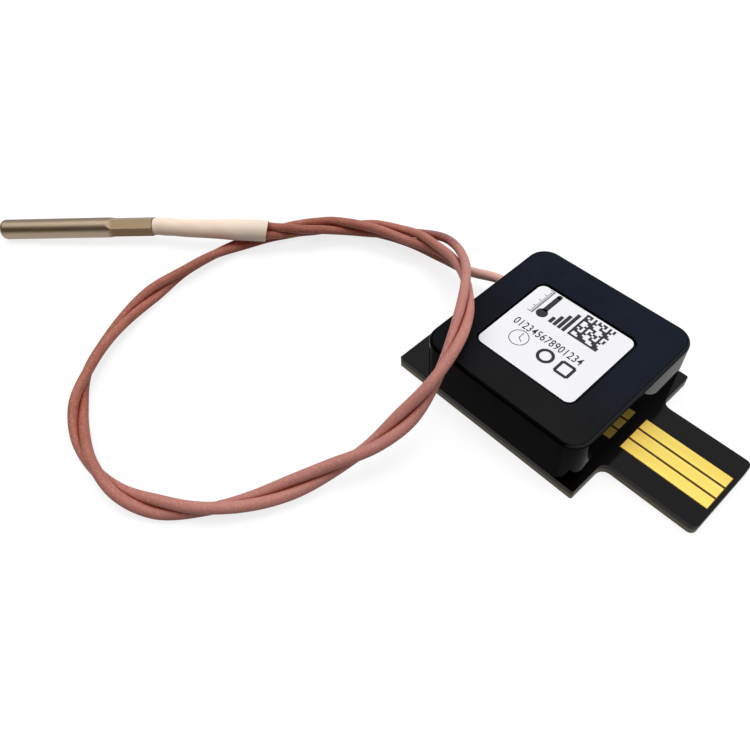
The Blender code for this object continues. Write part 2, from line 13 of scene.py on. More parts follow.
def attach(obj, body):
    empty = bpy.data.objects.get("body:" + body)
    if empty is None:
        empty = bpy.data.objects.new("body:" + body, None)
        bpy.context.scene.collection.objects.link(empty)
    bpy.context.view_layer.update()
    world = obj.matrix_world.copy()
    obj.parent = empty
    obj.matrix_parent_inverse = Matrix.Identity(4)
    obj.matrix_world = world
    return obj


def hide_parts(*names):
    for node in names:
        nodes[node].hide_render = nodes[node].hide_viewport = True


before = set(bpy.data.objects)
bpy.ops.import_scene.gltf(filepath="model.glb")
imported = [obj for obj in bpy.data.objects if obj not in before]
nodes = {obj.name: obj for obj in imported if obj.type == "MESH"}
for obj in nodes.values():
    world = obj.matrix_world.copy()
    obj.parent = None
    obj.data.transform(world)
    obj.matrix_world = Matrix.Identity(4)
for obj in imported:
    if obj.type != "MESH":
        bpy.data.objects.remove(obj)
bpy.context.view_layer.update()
mm = 0.001

# ---- camera: fitted to the edges of board, cap and label

PHOTO_WIDTH, FOCAL_PIXELS = 750, 722.903
SENSOR_WIDTH = 36.0
CAMERA_PLACE = Vector((25.224, -53.640, 77.969)) * mm
CAMERA_RIGHT = Vector((0.680015, 0.731171, -0.054492)).normalized()
CAMERA_BACK = Vector((0.477122, -0.384857, 0.790089)).normalized()

camera = bpy.data.cameras.new("camera")
camera.sensor_width = SENSOR_WIDTH
camera.lens = SENSOR_WIDTH * FOCAL_PIXELS / PHOTO_WIDTH
camera.clip_start = 0.002
camera.clip_end = 20
eye = bpy.data.objects.new("camera", camera)
bpy.context.scene.collection.objects.link(eye)
right = (CAMERA_RIGHT - CAMERA_BACK * CAMERA_RIGHT.dot(CAMERA_BACK)).normalized()
turned = Matrix((right, CAMERA_BACK.cross(right), CAMERA_BACK)).transposed()
eye.matrix_world = Matrix.Translation(CAMERA_PLACE) @ turned.to_4x4()
bpy.context.scene.camera = eye
bpy.context.scene.view_settings.view_transform = "Standard"


# ---- node helpers

# Sockets of a Mix node set to colours, which share their names with its other kinds
MIX_FACTOR, MIX_FIRST, MIX_SECOND, MIX_RESULT = 0, 6, 7, 2
SHADER_SOCKETS = {
    "color": "Base Color", "roughness": "Roughness", "metallic": "Metallic",
    "specular": "Specular IOR Level", "sheen": "Sheen Weight", "sheen_rough": "Sheen Roughness",
    "sheen_tint": "Sheen Tint", "subsurface": "Subsurface Weight", "scatter": "Subsurface Radius",
    "scatter_scale": "Subsurface Scale",
}


class Graph:
    """A node tree under construction: its sums and mixes add one node and return its output."""

    def __init__(self, tree):
        self.tree = tree

    def add(self, kind, **settings):
        made = self.tree.nodes.new(kind)
        for key, value in settings.items():
            setattr(made, key, value)
        return made

    def feed(self, socket, value):
        """Links an output to the socket, or sets it to a plain value."""
        if isinstance(value, bpy.types.NodeSocket):
            self.tree.links.new(value, socket)
        elif socket.type == "RGBA" and len(value) == 3:
            socket.default_value = (*value, 1)
        else:
            socket.default_value = value

    def span(self, value, low, high, first=0.0, last=1.0, kind="SMOOTHSTEP"):
        """Goes from first to last while the value goes from low to high."""
        node = self.add("ShaderNodeMapRange", interpolation_type=kind)
        for socket, number in zip(list(node.inputs)[:5], (value, low, high, first, last)):
            self.feed(socket, number)
        return node.outputs["Result"]

    def math(self, operation, first, second=0.0):
        node = self.add("ShaderNodeMath", operation=operation)
        self.feed(node.inputs[0], first)
        self.feed(node.inputs[1], second)
        return node.outputs[0]

    def mix(self, factor, first, second):
        node = self.add("ShaderNodeMix", data_type="RGBA")
        self.feed(node.inputs[MIX_FACTOR], factor)
        self.feed(node.inputs[MIX_FIRST], first)
        self.feed(node.inputs[MIX_SECOND], second)
        return node.outputs[MIX_RESULT]

    def product(self, first, second):
        return self.math("MULTIPLY", first, second)

    def rough_mix(self, factor, first, second):
        """A mix of two plain numbers, for the roughness."""
        return self.mix(factor, (first,) * 3, (second,) * 3)


class Look(Graph):
    """A material under construction, its patterns fixed to the object."""

    def __init__(self, name):
        self.material = bpy.data.materials.new(name)
        self.material.use_nodes = True
        super().__init__(self.material.node_tree)
        self.shader = self.tree.nodes["Principled BSDF"]
        self.coord = self.add("ShaderNodeTexCoord").outputs["Object"]

    def set(self, **values):
        """Feeds the shader's sockets, by the short names above."""
        for key, value in values.items():
            self.feed(self.shader.inputs[SHADER_SOCKETS[key]], value)

    def stretch(self, scale):
        node = self.add("ShaderNodeMapping")
        self.feed(node.inputs["Vector"], self.coord)
        node.inputs["Scale"].default_value = scale
        return node.outputs["Vector"]

    def noise(self, scale, detail, rough, where=None):
        node = self.add("ShaderNodeTexNoise")
        self.feed(node.inputs["Vector"], where or self.coord)
        node.inputs["Scale"].default_value = scale
        node.inputs["Detail"].default_value = detail
        node.inputs["Roughness"].default_value = rough
        return node.outputs["Fac"]

    def spots(self, scale):
        node = self.add("ShaderNodeTexVoronoi")
        self.feed(node.inputs["Vector"], self.coord)
        node.inputs["Scale"].default_value = scale
        return node.outputs["Distance"]

    def place(self):
        """X, Y and Z of the point."""
        node = self.add("ShaderNodeSeparateXYZ")
        self.feed(node.inputs[0], self.coord)
        return node.outputs

    def facing(self):
        """X, Y and Z of the surface's normal."""
        node = self.add("ShaderNodeSeparateXYZ")
        self.feed(node.inputs[0], self.add("ShaderNodeNewGeometry").outputs["True Normal"])
        return node.outputs

    def open_sky(self, distance):
        """1 where nothing stands near the surface, 0 deep in a crevice."""
        node = self.add("ShaderNodeAmbientOcclusion", samples=12)
        node.inputs["Distance"].default_value = distance
        return node.outputs["AO"]

    def bump(self, height, distance, strength):
        """Ends the look with fine relief, its depth in metres."""
        node = self.add("ShaderNodeBump")
        self.feed(node.inputs["Height"], height)
        node.inputs["Distance"].default_value = distance
        node.inputs["Strength"].default_value = strength
        self.feed(self.shader.inputs["Normal"], node.outputs["Normal"])
        return self


def linear(value):
    """The linear value of an sRGB number from 0 to 255."""
    return value / 255 / 12.92 if value <= 10 else ((value / 255 + 0.055) / 1.055) ** 2.4


def srgb(r, g, b):
    """The linear colour of an sRGB triple."""
    return tuple(linear(value) for value in (r, g, b))


def wear(look, name):
    """Puts a look on a CAD node, in place of its plain material."""
    nodes[name].data.materials.clear()
    nodes[name].data.materials.append(look.material)


def smoothed(mesh, sharp_from):
    """Shades a mesh smooth, apart from edges sharper than an angle in degrees."""
    mesh.shade_smooth()
    mesh.set_sharp_from_angle(angle=math.radians(sharp_from))


# ---- sizes read from the CAD nodes, in metres

def box_of(name):
    """Low and high corner of a node."""
    corners = [nodes[name].matrix_world @ Vector(corner) for corner in nodes[name].bound_box]
    return [Vector(tuple(pick(c[i] for c in corners) for i in range(3))) for pick in (min, max)]


cap_low, cap_high = box_of("cap")
label_low, label_high = box_of("label")


# ---- materials

MASK_SPECULAR = 0.21


def board_look():
    look = Look("solder_mask")
    side = look.math("LESS_THAN", look.math("ABSOLUTE", look.facing()["Z"]), 0.5)
    weave = look.noise(2200, 3, 0.6, look.stretch((1, 1, 6)))
    glass = look.mix(weave, srgb(96, 92, 74), srgb(138, 132, 110))
    # The board's edges: the weave's colour, darker towards the top
    height = look.math("ADD", look.place()["Z"], look.product(weave, 0.25 * mm))
    glass = look.mix(look.span(height, 0.7 * mm, 1.15 * mm), glass, srgb(7, 5, 3))
    cloud = look.noise(160, 4, 0.6)
    mask = look.mix(cloud, srgb(3, 2, 1), srgb(7, 5, 3))
    look.set(color=look.mix(side, mask, glass), specular=MASK_SPECULAR,
             roughness=look.rough_mix(side, 0.1, 0.55))
    grain = look.noise(2600, 2, 0.5)
    return look.bump(grain, 0.003 * mm, 0.3)


def strip_bed_look():
    """Solder mask outside the strips; between and just round them bare laminate, brown with a
    painted reflection of the strips' gold edges.
    """
    look = Look("strip_bed")
    x, y, _ = look.place()
    aside = look.math("ABSOLUTE", look.math("SUBTRACT", y, STRIP_MIDDLE))
    off = look.math("SUBTRACT", aside, STRIPS_HALF)
    for beyond in (look.math("SUBTRACT", STRIPS_START, x), look.math("SUBTRACT", x, STRIPS_END)):
        off = look.math("MAXIMUM", off, beyond)
    cloud = look.noise(600, 4, 0.6)
    # Brown laminate with a painted reflection of the gold edges
    brown = look.mix(cloud, srgb(66, 38, 0), srgb(104, 66, 4))
    edge = look.span(off, 0.04 * mm, 0.16 * mm)
    base = look.mix(edge, brown, srgb(5, 4, 2))
    look.set(color=base, specular=MASK_SPECULAR, roughness=look.rough_mix(edge, 0.4, 0.14))
    return look.bump(cloud, 0.004 * mm, 0.4)


def gold_look():
    look = Look("gold")
    streak = look.noise(700, 4, 0.6, look.stretch((0.05, 1, 1)))
    speck = look.noise(2600, 2, 0.5)
    from_cap = look.span(look.place()["X"], 8.3 * mm, 11.5 * mm)
    bright = look.mix(from_cap, srgb(255, 214, 102), srgb(231, 210, 109))
    base = look.mix(look.span(streak, 0.3, 0.8), bright, srgb(224, 194, 92))
    look.set(color=base, metallic=1.0, roughness=look.span(speck, 0.2, 0.8, 0.40, 0.48, "LINEAR"))
    return look.bump(streak, 0.003 * mm, 0.3)


def cap_look():
    """Satin roof over glossy walls and edges that are nearly black. The roof is bluer towards the
    back, a painted reflection, and darker at the left end, painted shade beside the wires; the
    edges facing +X and +Y are grey, a painted reflection.
    """
    look = Look("cap_plastic")
    x, y, _ = look.place()
    nx, ny, nz = look.facing()
    top = look.span(nz, 0.995, 0.9999)
    cloud = look.noise(90, 4, 0.6)
    tint = look.noise(260, 5, 0.7)
    # Painted reflection makes the roof bluer towards the back, and painted shade makes it darker at
    # its left end beside the wires
    left_end = look.mix(cloud, srgb(16, 17, 20), srgb(24, 25, 29))
    back_end = look.mix(cloud, srgb(20, 24, 33), srgb(30, 34, 45))
    front_end = look.mix(cloud, srgb(20, 21, 22), srgb(34, 34, 34))
    base = look.mix(look.span(y, -9 * mm, 1 * mm), front_end, back_end)
    left_end = look.mix(look.span(y, -3 * mm, 5 * mm), left_end, back_end)
    base = look.mix(look.span(x, -17 * mm, -4 * mm), left_end, base)
    base = look.mix(look.span(tint, 0.5, 0.75, 0.0, 0.5), base, srgb(17, 18, 19))
    # Painted reflection: the roof's edges are grey where they face +X or +Y, nearly black elsewhere
    outward = look.math("MAXIMUM", nx, ny)
    lit_edge = look.product(look.span(outward, 0.1, 0.45), look.span(nz, 0.3, 0.75))
    base = look.mix(top, look.mix(lit_edge, srgb(4, 2, 1), srgb(40, 42, 43)), base)
    grain = look.noise(2400, 3, 0.6)
    fine = look.noise(7000, 2, 0.5)
    satin = look.span(cloud, 0.3, 0.7, 0.34, 0.42, "LINEAR")
    walls = look.span(look.product(ny, -1.0), 0.85, 0.99, 0.05, 0.6)
    look.set(color=base, specular=0.019, roughness=look.mix(top, walls, satin))
    return look.bump(look.product(look.math("ADD", grain, fine), top), 0.006 * mm, 0.6)


def label_look():
    look = Look("label_paper")
    fibre = look.noise(1800, 5, 0.65)
    cloud = look.noise(220, 3, 0.5)
    base = look.mix(cloud, srgb(229, 229, 231), srgb(235, 235, 236))
    look.set(color=base, roughness=look.span(fibre, 0.3, 0.7, 0.42, 0.55, "LINEAR"), specular=0.3)
    return look.bump(fibre, 0.005 * mm, 0.4)


def ink_look():
    look = Look("label_ink")
    speck = look.noise(5200, 3, 0.6)
    look.set(color=look.mix(speck, srgb(30, 30, 32), srgb(58, 58, 60)),
             roughness=look.span(speck, 0.2, 0.8, 0.5, 0.7, "LINEAR"), specular=0.2)
    return look.bump(speck, 0.002 * mm, 0.3)


def wire_look(name, low, high):
    """Soft insulation: speckled, lighter and pinker towards the logger as painted light, and deep
    red in crevices as painted shade.

    A painted highlight makes it palest beside the cap's back edge, and painted shade makes it
    greyer on the outer strand of the last bend.
    """
    look = Look(name)
    x, y, z = look.place()
    cloud = look.noise(260, 4, 0.6)
    fibre = look.noise(3400, 5, 0.75)
    pore = look.spots(6500)
    base = look.mix(look.span(cloud, 0.3, 0.7), low, high)
    # Painted light: lighter and pinker towards the logger
    base = look.mix(look.span(x, -48 * mm, -14 * mm, 0.0, 0.48), base, srgb(204, 146, 138))
    # Painted highlight beside the cap's back edge
    exit_highlight = look.product(look.span(x, -26.5 * mm, -24.5 * mm),
                            look.span(y, 4.4 * mm, 5.4 * mm))
    base = look.mix(look.product(exit_highlight, 0.7), base, srgb(240, 194, 180))
    # Painted shade, greyer, on the outer strand of the last bend
    bend_shade = look.product(look.span(x, -24 * mm, -26.5 * mm),
                             look.span(y, 4.8 * mm, 5.5 * mm))
    bend_shade = look.product(bend_shade, look.span(z, 3.2 * mm, 4.4 * mm, 0.0, 0.6))
    base = look.mix(bend_shade, base, srgb(124, 82, 78))
    base = look.mix(look.span(fibre, 0.5, 0.7, 0.0, 0.45), base, srgb(226, 174, 162))
    base = look.mix(look.span(fibre, 0.28, 0.45, 0.28, 0.0), base, srgb(122, 52, 36))
    # Painted shade: deep red where other strands or the floor stand near
    crevice = look.span(look.open_sky(2.6 * mm), 0.25, 0.95, 0.92, 0.0)
    base = look.mix(crevice, base, srgb(146, 50, 22))
    look.set(color=base, roughness=look.span(fibre, 0.2, 0.8, 0.46, 0.58, "LINEAR"), specular=0.22,
             subsurface=0.12, scatter=(1.0, 0.3, 0.15), scatter_scale=0.0003,
             sheen=0.06, sheen_rough=0.4, sheen_tint=(1.0, 0.8, 0.76))
    return look.bump(look.math("ADD", fibre, look.product(pore, 0.6)), 0.02 * mm, 0.6)


def sleeve_look():
    look = Look("shrink_sleeve")
    crease = look.noise(900, 5, 0.6)
    cloud = look.noise(120, 3, 0.5)
    base = look.mix(cloud, srgb(236, 212, 190), srgb(248, 229, 211))
    look.set(color=base, roughness=look.span(crease, 0.2, 0.8, 0.42, 0.55, "LINEAR"), specular=0.35,
             subsurface=0.3, scatter=(1.0, 0.7, 0.5), scatter_scale=0.0005)
    return look.bump(crease, 0.02 * mm, 0.4)


def steel_look():
    """Drawn along its own Z; brown on the crimp's side flanks, a painted reflection of the room's
    dark side.
    """
    look = Look("drawn_steel")
    _, y, z = look.place()
    streak = look.noise(2600, 5, 0.7, look.stretch((1, 1, 0.05)))
    cloud = look.noise(130, 3, 0.6)
    base = look.mix(streak, srgb(142, 126, 104), srgb(168, 152, 130))
    crimp = look.span(z, RAMP_START * mm, CRIMP_START * mm)
    base = look.mix(crimp, base, look.mix(streak, srgb(130, 110, 84), srgb(152, 132, 106)))
    # Painted reflection of the room's dark side: brown on the crimp's side flanks
    flank = look.span(look.math("ABSOLUTE", y), 1.31 * mm, 1.35 * mm)
    flank_reflection = look.mix(streak, srgb(92, 72, 52), srgb(116, 94, 72))
    base = look.mix(look.product(flank, crimp), base, flank_reflection)
    look.set(color=base, metallic=1.0, roughness=look.span(cloud, 0.2, 0.8, 0.36, 0.44, "LINEAR"))
    return look.bump(streak, 0.004 * mm, 0.5)


def plain_look(name, low, high, roughness, metallic=0.0, scale=900, depth=0.006 * mm):
    """One colour with a fine grain, for pieces that are small or out of sight."""
    look = Look(name)
    grain = look.noise(scale, 4, 0.6)
    look.set(color=look.mix(grain, low, high), metallic=metallic,
             roughness=look.span(grain, 0.2, 0.8, roughness, roughness + 0.12, "LINEAR"))
    return look.bump(grain, depth, 0.5)


wear(board_look(), "circuit_board")
wear(label_look(), "label")
nickel = plain_look("nickel_plate", srgb(176, 176, 172), srgb(204, 203, 198), 0.22, 1.0)
copper = plain_look("copper_core", srgb(178, 112, 78), srgb(214, 142, 102), 0.25, 1.0, scale=2400)
chip = plain_look("chip_package", srgb(34, 34, 36), srgb(46, 46, 48), 0.45)
ceramic = plain_look("capacitor_body", srgb(150, 122, 92), srgb(180, 150, 116), 0.4)
SOLDER = (srgb(186, 186, 190), srgb(214, 214, 218))
for name, look in {
    "cable_grommet": plain_look("grommet_rubber", srgb(24, 24, 25), srgb(36, 36, 37), 0.6,
                                scale=1400, depth=0.01 * mm),
    "cell_can": nickel, "cell_lid": nickel, "upper_cell_tab": nickel, "lower_cell_tab": nickel,
    "cell_gasket": plain_look("gasket_plastic", srgb(176, 176, 168), srgb(198, 198, 190), 0.4),
    "cell_cathode": plain_look("pressed_powder", srgb(32, 32, 33), srgb(52, 52, 54), 0.8,
                               scale=3000, depth=0.02 * mm),
    "cell_anode": plain_look("lithium_metal", srgb(170, 170, 176), srgb(196, 196, 200), 0.4, 1.0),
    "microcontroller": chip, "converter_chip": chip, "memory_chip": chip,
    "crystal": plain_look("crystal_lid", srgb(180, 180, 180), srgb(208, 208, 206), 0.25, 1.0),
    "capacitor_1": ceramic, "capacitor_2": ceramic,
    "resistor_1": chip, "resistor_2": chip,
    "wire_core_a": copper, "wire_core_b": copper, "sensor_lead_1": copper, "sensor_lead_2": copper,
    "solder_joint_a": plain_look("solder_metal", *SOLDER, 0.2, 1.0),
    "solder_joint_b": plain_look("solder_metal_b", *SOLDER, 0.22, 1.0),
    "sensor_bead": plain_look("glass_bead", srgb(98, 44, 22), srgb(128, 62, 34), 0.08),
}.items():
    wear(look, name)

for made in nodes.values():
    smoothed(made.data, 30)


# ---- pieces built here

def add_piece(name, data, look, replaces=None):
    """A piece on the one body, with its look and the CAD node that it stands for."""
    made = bpy.data.objects.new(name, data)
    bpy.context.scene.collection.objects.link(made)
    data.materials.append(look.material)
    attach(made, "root")
    if replaces:
        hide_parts(replaces)
    return made


def prism(bm, outline, z0, z1):
    """A flat outline in millimetres, listed anticlockwise, extruded from z0 to z1."""
    low = [bm.verts.new((x * mm, y * mm, z0 * mm)) for x, y in outline]
    high = [bm.verts.new((x * mm, y * mm, z1 * mm)) for x, y in outline]
    bm.faces.new(low[::-1])
    bm.faces.new(high)
    for i in range(len(outline)):
        j = (i + 1) % len(outline)
        bm.faces.new((low[i], low[j], high[j], high[i]))


def box_outline(x0, x1, y0, y1, corner, steps=3):
    """A rectangle with rounded corners, anticlockwise."""
    points = []
    for cx, cy, first in ((x1, y1, 0), (x0, y1, 90), (x0, y0, 180), (x1, y0, 270)):
        mx = cx - corner if cx == x1 else cx + corner
        my = cy - corner if cy == y1 else cy + corner
        for k in range(steps + 1):
            turn = math.radians(first + 90 * k / steps)
            points.append((mx + corner * math.cos(turn), my + corner * math.sin(turn)))
    return points


def finished_mesh(bm, name):
    mesh = bpy.data.meshes.new(name)
    bm.normal_update()
    bm.to_mesh(mesh)
    bm.free()
    return mesh


def lofted(bm, rings, name):
    """A closed mesh through rings of as many points each, its first and last ring filled."""
    count = len(rings[0])
    for first, second in zip(rings, rings[1:]):
        for k in range(count):
            j = (k + 1) % count
            bm.faces.new((first[k], first[j], second[j], second[k]))
    bm.faces.new(rings[0])
    bm.faces.new(rings[-1])
    bmesh.ops.recalc_face_normals(bm, faces=bm.faces)
    return finished_mesh(bm, name)


def turns(count):
    """The angles of as many points round a circle."""
    return [2 * math.pi * k / count for k in range(count)]


# ---- probe tube: a round tube pressed to a hexagon over the sleeve's end, in millimetres

PROBE_TIP, PROBE_HEADING, PROBE_TILT = (-87.1, -39.2, 1.6), math.radians(41.85), math.radians(2.78)
TUBE_START, TUBE_END, TUBE_RADIUS, TUBE_WALL, TUBE_NOSE = 0.25, 26.65, 1.6, 0.25, 0.9
TUBE_RIM, TUBE_BORE_TIP, TUBE_AROUND = 0.06, 0.7, 96
RAMP_START, CRIMP_START, CRIMP_FLAT, CRIMP_BORE = 18.9, 20.1, 1.35, 1.05
NO_FLAT = 9
NOSE_STEPS, RAMP_STEPS = 12, 24


def tube_mesh():
    """Rings along the tube's own Z: its outside from nose to mouth, then its bore back again."""
    side = math.pi / 3
    bm = bmesh.new()
    rings = []

    def ring(z, round_radius, flat=NO_FLAT):
        made = []
        for turn in turns(TUBE_AROUND):
            radius = min(round_radius, flat / math.cos(turn % side - side / 2))
            made.append(bm.verts.new((radius * math.cos(turn) * mm,
                                      radius * math.sin(turn) * mm, z * mm)))
        rings.append(made)

    for k in range(1, NOSE_STEPS + 1):
        turn = math.pi / 2 * k / NOSE_STEPS
        ring(TUBE_START + TUBE_NOSE - TUBE_NOSE * math.cos(turn),
             TUBE_RADIUS - TUBE_NOSE + TUBE_NOSE * math.sin(turn))
    ring(RAMP_START, TUBE_RADIUS)
    for k in range(RAMP_STEPS + 1):
        s = k / RAMP_STEPS
        flat = CRIMP_FLAT + (TUBE_RADIUS - CRIMP_FLAT) * (1 - math.sin(math.pi / 2 * s) ** 1.5)
        ring(RAMP_START + (CRIMP_START - RAMP_START) * s, TUBE_RADIUS, flat)
    ring(TUBE_END - TUBE_RIM, TUBE_RADIUS, CRIMP_FLAT)
    ring(TUBE_END, TUBE_RADIUS - TUBE_RIM, CRIMP_FLAT - TUBE_RIM)
    for z, radius in ((TUBE_END, CRIMP_BORE), (CRIMP_START, CRIMP_BORE),
                      (RAMP_START, TUBE_RADIUS - TUBE_WALL),
                      (TUBE_START + TUBE_NOSE, TUBE_RADIUS - TUBE_WALL),
                      (TUBE_START + TUBE_WALL, TUBE_BORE_TIP)):
        ring(z, radius)
    mesh = lofted(bm, rings, "tube")
    smoothed(mesh, 28)
    return mesh


tube = add_piece("tube", tube_mesh(), steel_look(), "probe_tube")
tube_turn = (Matrix.Rotation(PROBE_HEADING, 4, "Z")
             @ Matrix.Rotation(math.pi / 2 - PROBE_TILT, 4, "Y"))
tube.matrix_world = Matrix.Translation(Vector(PROBE_TIP) * mm) @ tube_turn


# ---- contact strips, on a bed that fills their pocket in the board, in millimetres

STRIP_TRIM, STRIP_CORNER, STRIP_LEVELS = 0.02, 0.05, (1.55, 1.64)
BED_END_ROOM, BED_SIDE_ROOM, BED_CORNER, BED_LEVELS = 0.235, 0.255, 0.24, (1.28, 1.6)

gold = gold_look()
strips = []
for number in (1, 2, 3):
    low, high = box_of(f"contact_strip_{number}")
    strips.append((low.x / mm, high.x / mm, low.y / mm + STRIP_TRIM, high.y / mm - STRIP_TRIM))
strips_x0, strips_x1, strips_y0, _ = strips[0]
strips_y1 = strips[-1][3]
STRIP_MIDDLE = (strips[1][2] + strips[1][3]) / 2 * mm
STRIPS_HALF = (strips_y1 - strips_y0) / 2 * mm
STRIPS_START, STRIPS_END = strips_x0 * mm, strips_x1 * mm
for number, sides in enumerate(strips, 1):
    bm = bmesh.new()
    prism(bm, box_outline(*sides, STRIP_CORNER), *STRIP_LEVELS)
    add_piece(f"strip_{number}", finished_mesh(bm, f"strip_{number}"), gold,
              f"contact_strip_{number}")
bm = bmesh.new()
bed = box_outline(strips_x0 - BED_END_ROOM, strips_x1 + BED_END_ROOM,
                  strips_y0 - BED_SIDE_ROOM, strips_y1 + BED_SIDE_ROOM, BED_CORNER)
prism(bm, bed, *BED_LEVELS)
add_piece("strip_bed", finished_mesh(bm, "strip_bed"), strip_bed_look())


# ---- cap: the CAD cap's shape, with finer corners and edges, in millimetres

CAP_CORNER, CAP_EDGE, CAP_WALL, CAP_ROOF = 2.7, 0.5, 1.2, 1.2
CAP_SINK, CAP_FOOT_EDGE = 0.27, 0.04
RECESS_GAP, RECESS_DEPTH, RECESS_CORNER = 0.3, 0.5, 1.0
# The recess's rim, from the roof down its wall: distance outside the recess, depth
RECESS_RIM = ((0.3, 0), (0.08, 0), (0.025, 0.02), (0, 0.08), (0, RECESS_DEPTH))
CORNER_STEPS, EDGE_STEPS = 14, 12


def cap_mesh():
    """Rings from the shell's inside down to its foot, up its walls and into the label's recess."""
    x0, y0, z0 = cap_low / mm
    x1, y1, z1 = cap_high / mm
    z0 -= CAP_SINK
    lx0, ly0, _ = label_low / mm
    lx1, ly1, _ = label_high / mm

    def outline(inset):
        return box_outline(x0 + inset, x1 - inset, y0 + inset, y1 - inset,
                           CAP_CORNER - inset, CORNER_STEPS)

    def recess(grow):
        grow += RECESS_GAP
        return box_outline(lx0 - grow, lx1 + grow, ly0 - grow, ly1 + grow,
                           RECESS_CORNER + grow, CORNER_STEPS)

    levels = [(outline(CAP_WALL), z1 - CAP_ROOF), (outline(CAP_WALL), z0),
              (outline(CAP_FOOT_EDGE), z0), (outline(0), z0 + CAP_FOOT_EDGE)]
    for k in range(EDGE_STEPS + 1):
        turn = math.radians(90 * k / EDGE_STEPS)
        levels.append((outline(CAP_EDGE * (1 - math.cos(turn))),
                       z1 - CAP_EDGE + CAP_EDGE * math.sin(turn)))
    levels += [(recess(grow), z1 - depth) for grow, depth in RECESS_RIM]
    bm = bmesh.new()
    rings = [[bm.verts.new((x * mm, y * mm, z * mm)) for x, y in points] for points, z in levels]
    return lofted(bm, rings, "cap_shell")


def cut_out(target, outline, x0, x1):
    """Cuts an outline in Y and Z, extruded from x0 to x1, out of a piece's mesh."""
    bm = bmesh.new()
    prism(bm, outline, x0, x1)
    bmesh.ops.recalc_face_normals(bm, faces=bm.faces)
    cutter = bpy.data.objects.new("cutter", finished_mesh(bm, "cutter"))
    cutter.matrix_world = Matrix(((0, 0, 1, 0), (1, 0, 0, 0), (0, 1, 0, 0), (0, 0, 0, 1)))
    bpy.context.scene.collection.objects.link(cutter)
    step = target.modifiers.new("cut", "BOOLEAN")
    step.object = cutter
    step.solver = "EXACT"
    bpy.context.view_layer.update()
    graph = bpy.context.evaluated_depsgraph_get()
    result = bpy.data.meshes.new_from_object(target.evaluated_get(graph))
    target.modifiers.remove(step)
    target.data = result
    bpy.data.objects.remove(cutter, do_unlink=True)


# The grommet's opening in the back wall
ARCH_ROOM, ARCH_FOOT, ARCH_CORNER, ARCH_STEPS = 0.15, 0.5, 1.6, 8
CUT_OUTSIDE, CUT_INSIDE = 1, 0.5

cap_shell = add_piece("cap_shell", cap_mesh(), cap_look(), "cap")
grommet_low, grommet_high = (corner / mm for corner in box_of("cable_grommet"))
arch = box_outline(grommet_low.y - ARCH_ROOM, grommet_high.y + ARCH_ROOM,
                   ARCH_FOOT, grommet_high.z + ARCH_ROOM, ARCH_CORNER, ARCH_STEPS)
cut_out(cap_shell, arch, cap_low.x / mm - CUT_OUTSIDE, cap_low.x / mm + CAP_WALL + CUT_INSIDE)
smoothed(cap_shell.data, 32)


# ---- wires and sleeve, in millimetres: the CAD model's routes, a few points of them moved so that
# the strands lie together as in the photograph

ROUTE_A = [
    (-14.2, 6.2, 4.6), (-19.2, 6.2, 4.6), (-24.7, 5.1, 3.7), (-30.5, 4.85, 3.9),
    (-35.8, 3.15, 4), (-40.8, 1.3, 4.2), (-45.75, -0.95, 3.85), (-50.55, -3.55, 2.65),
    (-54.3, -7.35, 1.25), (-56.5, -12.4, 0.7), (-57.15, -17.85, 0.75), (-57.05, -23.4, 0.8),
    (-55.7, -28.8, 0.75), (-53.95, -34, 1.6), (-51.85, -38.95, 2.3), (-49, -43.6, 2.65),
    (-45.8, -48.1, 2.25), (-41.2, -50.8, 1.05), (-35.7, -51.2, 0.7), (-30.4, -50, 0.85),
    (-25.45, -47.7, 1.95), (-20.7, -44.9, 2.55), (-17.2, -40.7, 1.95), (-14.75, -35.75, 1.55),
    (-13.4, -30.45, 2), (-12.3, -25.35, 3.75), (-11.5, -20.8, 6.8), (-10.5, -16.3, 9.8),
    (-11.2, -10.95, 11.25), (-13.75, -6.1, 10.8), (-17.6, -2.3, 9.55), (-21.7, 0.85, 7.85),
    (-26.35, 3.2, 6.4), (-31.35, 4.45, 5.25), (-36.7, 4.1, 4.4), (-42.05, 2.85, 3.45),
    (-46.3, -0.4, 2.15), (-49.4, -5, 2.05), (-51.9, -10.5, 3.45),
]
ROUTE_B = [
    (-14.2, 7.3, 3.35), (-19.2, 7.3, 3.35), (-24.75, 6.1, 2.15), (-30.3, 6.05, 1.45),
    (-35.9, 5.55, 1.05), (-41.3, 3.9, 0.85), (-46.15, 1.15, 0.8), (-49.7, -3.1, 0.75),
    (-52.45, -7.9, 1.05), (-54.9, -12.9, 1), (-55.8, -18.3, 2.05), (-56, -23.8, 2.45),
    (-56.55, -29.3, 2.25), (-55.75, -34.75, 1.3), (-53.3, -39.8, 0.9), (-50, -44.2, 0.9),
    (-45.3, -47.1, 0.8), (-40.25, -49.3, 1.7), (-35.05, -50.95, 2.45), (-29.5, -51.25, 2.1),
    (-24.6, -48.95, 0.9), (-21.15, -44.6, 0.7), (-18.45, -39.75, 1.15), (-16.05, -34.85, 2.4),
    (-13.4, -30.2, 3.9), (-10.75, -25.5, 5.1), (-9.9, -20.05, 6.05), (-10.95, -15.1, 8.4),
    (-13.1, -10.45, 10.55), (-15.9, -5.8, 11.55), (-19, -1.3, 10.85), (-22.5, 2.45, 8.9),
    (-26.65, 5.4, 6.75), (-31.55, 6.65, 4.7), (-36.6, 5.4, 2.95), (-40.95, 2.1, 2.15),
    (-44.95, -1.75, 2.85), (-48.25, -6.05, 4.1), (-52.6, -9.7, 4.25),
]
WIRE_RADIUS = 0.675 * mm
# The insulation's thickness along the route: point of the route, share of WIRE_RADIUS
THICKNESS = [(0, 0.92), (2.4, 0.92), (3.4, 1.05), (6, 1.02), (17.5, 1.0),
             (19.5, 1.12), (26, 1.12), (29, 0.94), (32, 0.94), (34.5, 1.0), (60, 1.0)]
ROUTE_STEPS = 9
